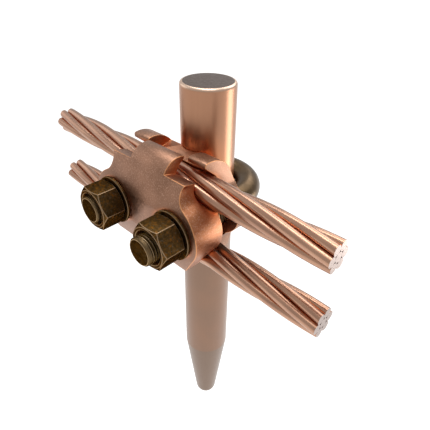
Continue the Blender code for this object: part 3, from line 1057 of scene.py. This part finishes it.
@dataclass
class UBolt:
    """The U-bolt: a smooth bent shank and two threaded ends.

    A pitch is a 24th of an inch. The thread's form is given as shares of the pitch and of
    the thread's depth, from one crest to the next root.
    """

    finishes: Finishes
    leg_x: float = 14.6875 * MM
    radius: float = 4.7625 * MM
    pitch: float = 1.0583 * MM
    thread_depth: float = 0.45 * MM
    thread_form: tuple[tuple[float, float], ...] = (
        (0.0, 0.0),
        (0.2, 0.0),
        (0.52, 1.0),
        (0.66, 1.0),
    )
    thread_start: float = -11.0 * MM
    thread_inside: float = 0.3 * MM  # how far each thread starts inside the shank
    tip_right: float = -43.305 * MM
    tip_left: float = -41.205 * MM
    lead: float = 1.2 * MM  # the length of the plain tip
    tip_chamfer: float = 0.42 * MM
    tip_ring: float = 0.2 * MM
    tip_inside: float = 0.1 * MM  # how far the plain tip reaches into the thread
    shank_slack: float = 0.02 * MM  # how far inside the crests the shank's side is
    tip_slack: float = 0.03 * MM  # how far inside them the tip's side is
    crest_slack: float = 0.05 * MM  # how far inside them a face still counts as a crest
    ring_wear: float = 1.0
    tip_wear: float = 0.15
    crest_wear: float = 0.6
    sides: int = 48
    bend_steps: int = 64
    shank_sharp_deg: float = 35.0
    thread_sharp_deg: float = 30.0

    def shank(self) -> bpy.types.Object:
        """The half-round bend with a straight length on each side.

        Returns:
            The shank.
        """
        shape = bmesh.new()
        ring = bmesh.ops.create_circle(
            shape, segments=self.sides, radius=self.radius - self.shank_slack
        )
        upright = Matrix.Rotation(math.pi / 2, 4, "X")
        centre = Vector((self.leg_x, 0, 0))
        bmesh.ops.transform(
            shape, matrix=Matrix.Translation(centre) @ upright, verts=ring["verts"]
        )
        edges = list({edge for vert in ring["verts"] for edge in vert.link_edges})
        spun = bmesh.ops.spin(
            shape,
            geom=list(ring["verts"]) + edges,
            cent=(0, 0, 0),
            axis=(0, 0, 1),
            angle=math.pi,
            steps=self.bend_steps,
        )
        far = [item for item in spun["geom_last"] if isinstance(item, bmesh.types.BMEdge)]
        for start in (edges, far):
            grown = bmesh.ops.extrude_edge_only(shape, edges=start)["geom"]
            verts = [item for item in grown if isinstance(item, bmesh.types.BMVert)]
            bmesh.ops.translate(shape, verts=verts, vec=(0, self.thread_start, 0))
            rim = [item for item in grown if isinstance(item, bmesh.types.BMEdge)]
            bmesh.ops.contextual_create(shape, geom=rim)
        round_outwards(shape)
        return finish_mesh(shape, "u_bolt_shank", [self.finishes.shank], self.shank_sharp_deg)

    def thread_profile(self, start: float, end: float) -> list[tuple[float, float]]:
        """The thread's outline along the leg, as (radius, y).

        Args:
            start: The y where it starts.
            end: The y where it ends, in front.

        Returns:
            Points from start to end, a whole number of pitches long.
        """
        turns = math.ceil((start - end) / self.pitch) + 2
        points = []
        for turn in range(turns):
            for along, depth in self.thread_form:
                y = start + self.pitch - (turn + along) * self.pitch
                points.append((self.radius - depth * self.thread_depth, y))
        points.append((self.radius, start + self.pitch - turns * self.pitch))
        return points

    def thread(self, side: Side, end: float) -> bpy.types.Object:
        """One threaded end, with a chamfered tip.

        Args:
            side: Which leg.
            end: The y of its tip.

        Returns:
            The threaded end's object.
        """
        centre = Vector((side.value * self.leg_x, 0, 0))
        start = self.thread_start + self.thread_inside
        root = end + self.lead
        outline = self.thread_profile(start, root)
        shape = bmesh.new()
        wire = profile_wire(shape, [centre + Vector((reach, y, 0)) for reach, y in outline])
        bmesh.ops.spin(
            shape,
            geom=wire,
            cent=centre,
            axis=(0, -1, 0),
            dvec=(0, -self.pitch / self.sides, 0),
            angle=2 * math.pi,
            steps=self.sides,
        )
        bmesh.ops.remove_doubles(shape, verts=shape.verts, dist=MERGE_DISTANCE)
        cut_square(shape, Vector((0, start, 0)), Vector((0, 1, 0)))
        cut_square(shape, Vector((0, root, 0)), Vector((0, -1, 0)))
        self.turn_tip(shape, centre, end)
        self.rub(shape, centre, end)
        name = f"threaded_end_{side.name.lower()}"
        return finish_mesh(shape, name, [self.finishes.thread], self.thread_sharp_deg)

    def turn_tip(self, shape: bmesh.types.BMesh, centre: Vector, end: float) -> None:
        """Turns the plain chamfered tip in front of the thread.

        Args:
            shape: The threaded end.
            centre: A point on its axis.
            end: The y of its tip.
        """
        side = self.radius - self.tip_slack
        flat = self.radius - self.tip_chamfer
        inside = end + self.lead + self.tip_inside
        corners = [
            (0.0, end),
            (flat - self.tip_ring, end),
            (flat, end),
            (side, end + self.tip_chamfer),
            (side, inside),
            (0.0, inside),
        ]
        wire = profile_wire(shape, [centre + Vector((reach, y, 0)) for reach, y in corners])
        spin_round(shape, wire, centre, Vector((0, 1, 0)), self.sides)

    def rub(self, shape: bmesh.types.BMesh, centre: Vector, end: float) -> None:
        """Marks the tip's ring, the tip's side and the thread's crests as rubbed.

        Args:
            shape: The threaded end.
            centre: A point on its axis.
            end: The y of its tip.
        """
        worn = shape.faces.layers.float.new("worn")
        ring = self.radius - self.tip_chamfer - self.tip_ring
        for face in shape.faces:
            middle = face.calc_center_median() - centre
            reach = math.hypot(middle.x, middle.z)
            if middle.y < end + MERGE_DISTANCE:
                face[worn] = self.ring_wear if reach > ring else 0.0
            elif middle.y < end + self.lead:
                face[worn] = self.tip_wear
            elif reach > self.radius - self.crest_slack:
                face[worn] = self.crest_wear

    def build(self) -> list[bpy.types.Object]:
        """Builds the shank and both threaded ends.

        Returns:
            The shank, the right end and the left end.
        """
        pieces = [
            self.shank(),
            self.thread(Side.RIGHT, self.tip_right),
            self.thread(Side.LEFT, self.tip_left),
        ]
        for piece, slot in zip(pieces, ("smooth_bronze", "dark_bronze", "dark_bronze")):
            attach(piece, FIXED_BODY)
            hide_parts("u_bolt")
        return pieces


@dataclass(frozen=True)
class SoftBox:
    """A soft rectangular lamp that faces the clamp and isn't seen itself."""

    name: str
    spot: Point  # where its middle is
    along: Point  # about which way its length runs
    length: float
    width: float
    watts: float

    def build(self) -> None:
        """Hangs the lamp in the scene."""
        data = bpy.data.lights.new(self.name, "AREA")
        data.shape = "RECTANGLE"
        data.size = self.length
        data.size_y = self.width
        data.energy = self.watts
        away = Vector(self.spot).normalized()
        across = away.cross(Vector(self.along)).normalized()
        turn = Matrix((across.cross(away), across, away)).transposed().to_4x4()
        lamp = bpy.data.objects.new(self.name, data)
        lamp.matrix_world = Matrix.Translation(Vector(self.spot)) @ turn
        lamp.visible_camera = False
        bpy.context.scene.collection.objects.link(lamp)


@dataclass
class Studio:
    """The pale floor, the soft lamps, the pale surroundings and the camera."""

    floor_z: float = -0.45
    floor_size: float = 12.0
    floor_tone: str = "D8D8D8"
    floor_glow: float = 0.72
    wall_tone: str = "CFCFCF"
    azimuth_deg: float = 43.08
    elevation_deg: float = 33.96
    roll_deg: float = 1.209
    lens_mm: float = 35.0
    sensor_mm: float = 36.0
    nearest: float = 0.01
    farthest: float = 50.0
    eye: Point = (95.0 * MM, -97.16 * MM, 77.25 * MM)
    lamps: tuple[SoftBox, ...] = (
        SoftBox("low_side_box", (0.33, 0.41, -0.18), ALONG_Z, 0.28, 0.26, 1.1),
        SoftBox("high_back_box", (-0.02, 0.44, 0.41), ALONG_X, 0.50, 0.34, 1.3),
        SoftBox("overhead_box", (0.10, -0.10, 0.70), ALONG_X, 0.40, 0.40, 0.8),
        SoftBox("left_box", (-0.50, -0.16, 0.19), ALONG_Y, 0.40, 0.30, 0.3),
        SoftBox("high_strip", (-0.16, 0.10, 0.60), ALONG_X, 0.46, 0.17, 1.5),
    )

    def camera(self) -> None:
        """Sets the camera at the photograph's viewpoint."""
        azimuth = math.radians(self.azimuth_deg)
        elevation = math.radians(self.elevation_deg)
        roll = math.radians(self.roll_deg)
        right = Vector((math.cos(azimuth), math.sin(azimuth), 0))
        back = Vector(
            (
                math.sin(azimuth) * math.cos(elevation),
                -math.cos(azimuth) * math.cos(elevation),
                math.sin(elevation),
            )
        )
        up = back.cross(right)
        turned_right = math.cos(roll) * right + math.sin(roll) * up
        turned_up = math.cos(roll) * up - math.sin(roll) * right
        data = bpy.data.cameras.new("camera")
        data.lens = self.lens_mm
        data.sensor_width = self.sensor_mm
        data.clip_start = self.nearest
        data.clip_end = self.farthest
        eye = bpy.data.objects.new("camera", data)
        turn = Matrix((turned_right, turned_up, back)).transposed().to_4x4()
        eye.matrix_world = Matrix.Translation(Vector(self.eye)) @ turn
        bpy.context.scene.collection.objects.link(eye)
        bpy.context.scene.camera = eye

    def floor(self) -> None:
        """A plain pale floor, drawn near white for the camera and in reflections."""
        shape = bmesh.new()
        bmesh.ops.create_grid(shape, x_segments=1, y_segments=1, size=self.floor_size / 2)
        mesh = bpy.data.meshes.new("floor")
        shape.to_mesh(mesh)
        shape.free()
        floor = bpy.data.objects.new("floor", mesh)
        floor.location.z = self.floor_z
        bpy.context.scene.collection.objects.link(floor)
        material = bpy.data.materials.new("pale_floor")
        material.use_nodes = True
        tree = material.node_tree
        tree.nodes.clear()
        paint = add_node(tree, "BsdfDiffuse", {"Color": linear(self.floor_tone)})
        glow = add_node(tree, "Emission", {"Color": linear("FFFFFF"), "Strength": self.floor_glow})
        shown = add_node(tree, "AddShader", {0: paint, 1: glow})
        mix = add_node(tree, "MixShader", {0: self.seen(tree), 1: paint, 2: shown})
        add_node(tree, "OutputMaterial", {"Surface": mix})
        mesh.materials.append(material)

    def surroundings(self) -> None:
        """Plain pale walls."""
        world = bpy.data.worlds.new("studio")
        bpy.context.scene.world = world
        world.use_nodes = True
        tree = world.node_tree
        tree.nodes.clear()
        walls = add_node(tree, "Background", {"Color": linear(self.wall_tone), "Strength": 1.0})
        add_node(tree, "OutputWorld", {"Surface": walls})

    def seen(self, tree: bpy.types.NodeTree) -> Socket:
        """Adds what is 1 on camera, glossy and transmission rays.

        Args:
            tree: The floor's node tree.

        Returns:
            The output that is 1 on those rays.
        """
        direct = add_node(tree, "LightPath", {}, "Is Camera Ray")
        rays = direct.node.outputs
        both = add_node(tree, "Math", {0: direct, 1: rays["Is Glossy Ray"]}, operation="MAXIMUM")
        return add_node(
            tree, "Math", {0: both, 1: rays["Is Transmission Ray"]}, operation="MAXIMUM"
        )

    def build(self) -> None:
        """Everything round the clamp."""
        self.camera()
        for lamp in self.lamps:
            lamp.build()
        self.floor()
        self.surroundings()
        bpy.context.scene.view_settings.view_transform = "Standard"


def main() -> None:
    """Builds and dresses the clamp, part by part."""
    logging.basicConfig(level=logging.INFO, format="%(name)s: %(message)s")
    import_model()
    Studio().build()
    finishes = Finishes()
    builders = [
        RodStub(finishes),
        Conductor(finishes, "upper", 11.75 * MM, 0.0),
        Conductor(finishes, "lower", -11.75 * MM, 6.0),
        Casting(finishes, "back_saddle", "back_casting", FIXED_BODY),
        # the front saddle's sides take the painted reflection
        Casting(finishes, "front_saddle", "front_casting", JAW_BODY, side_reflection_strength=0.85),
        UBolt(finishes),
    ]
    for side in Side:
        name = f"nut_{side.name.lower()}"
        builders.append(Washer(finishes, side))
        builders.append(
            Nut(
                finishes,
                name,
                f"hex_{name}",
                name,
                slot="dark_bronze",
                rounding=0.16 * MM,
                sharp_deg=20.0,
            )
        )
    for builder in builders:
        for piece in builder.build():
            LOG.info("%s: %d faces", piece.name, len(piece.data.polygons))


if __name__ == "__main__":
    main()
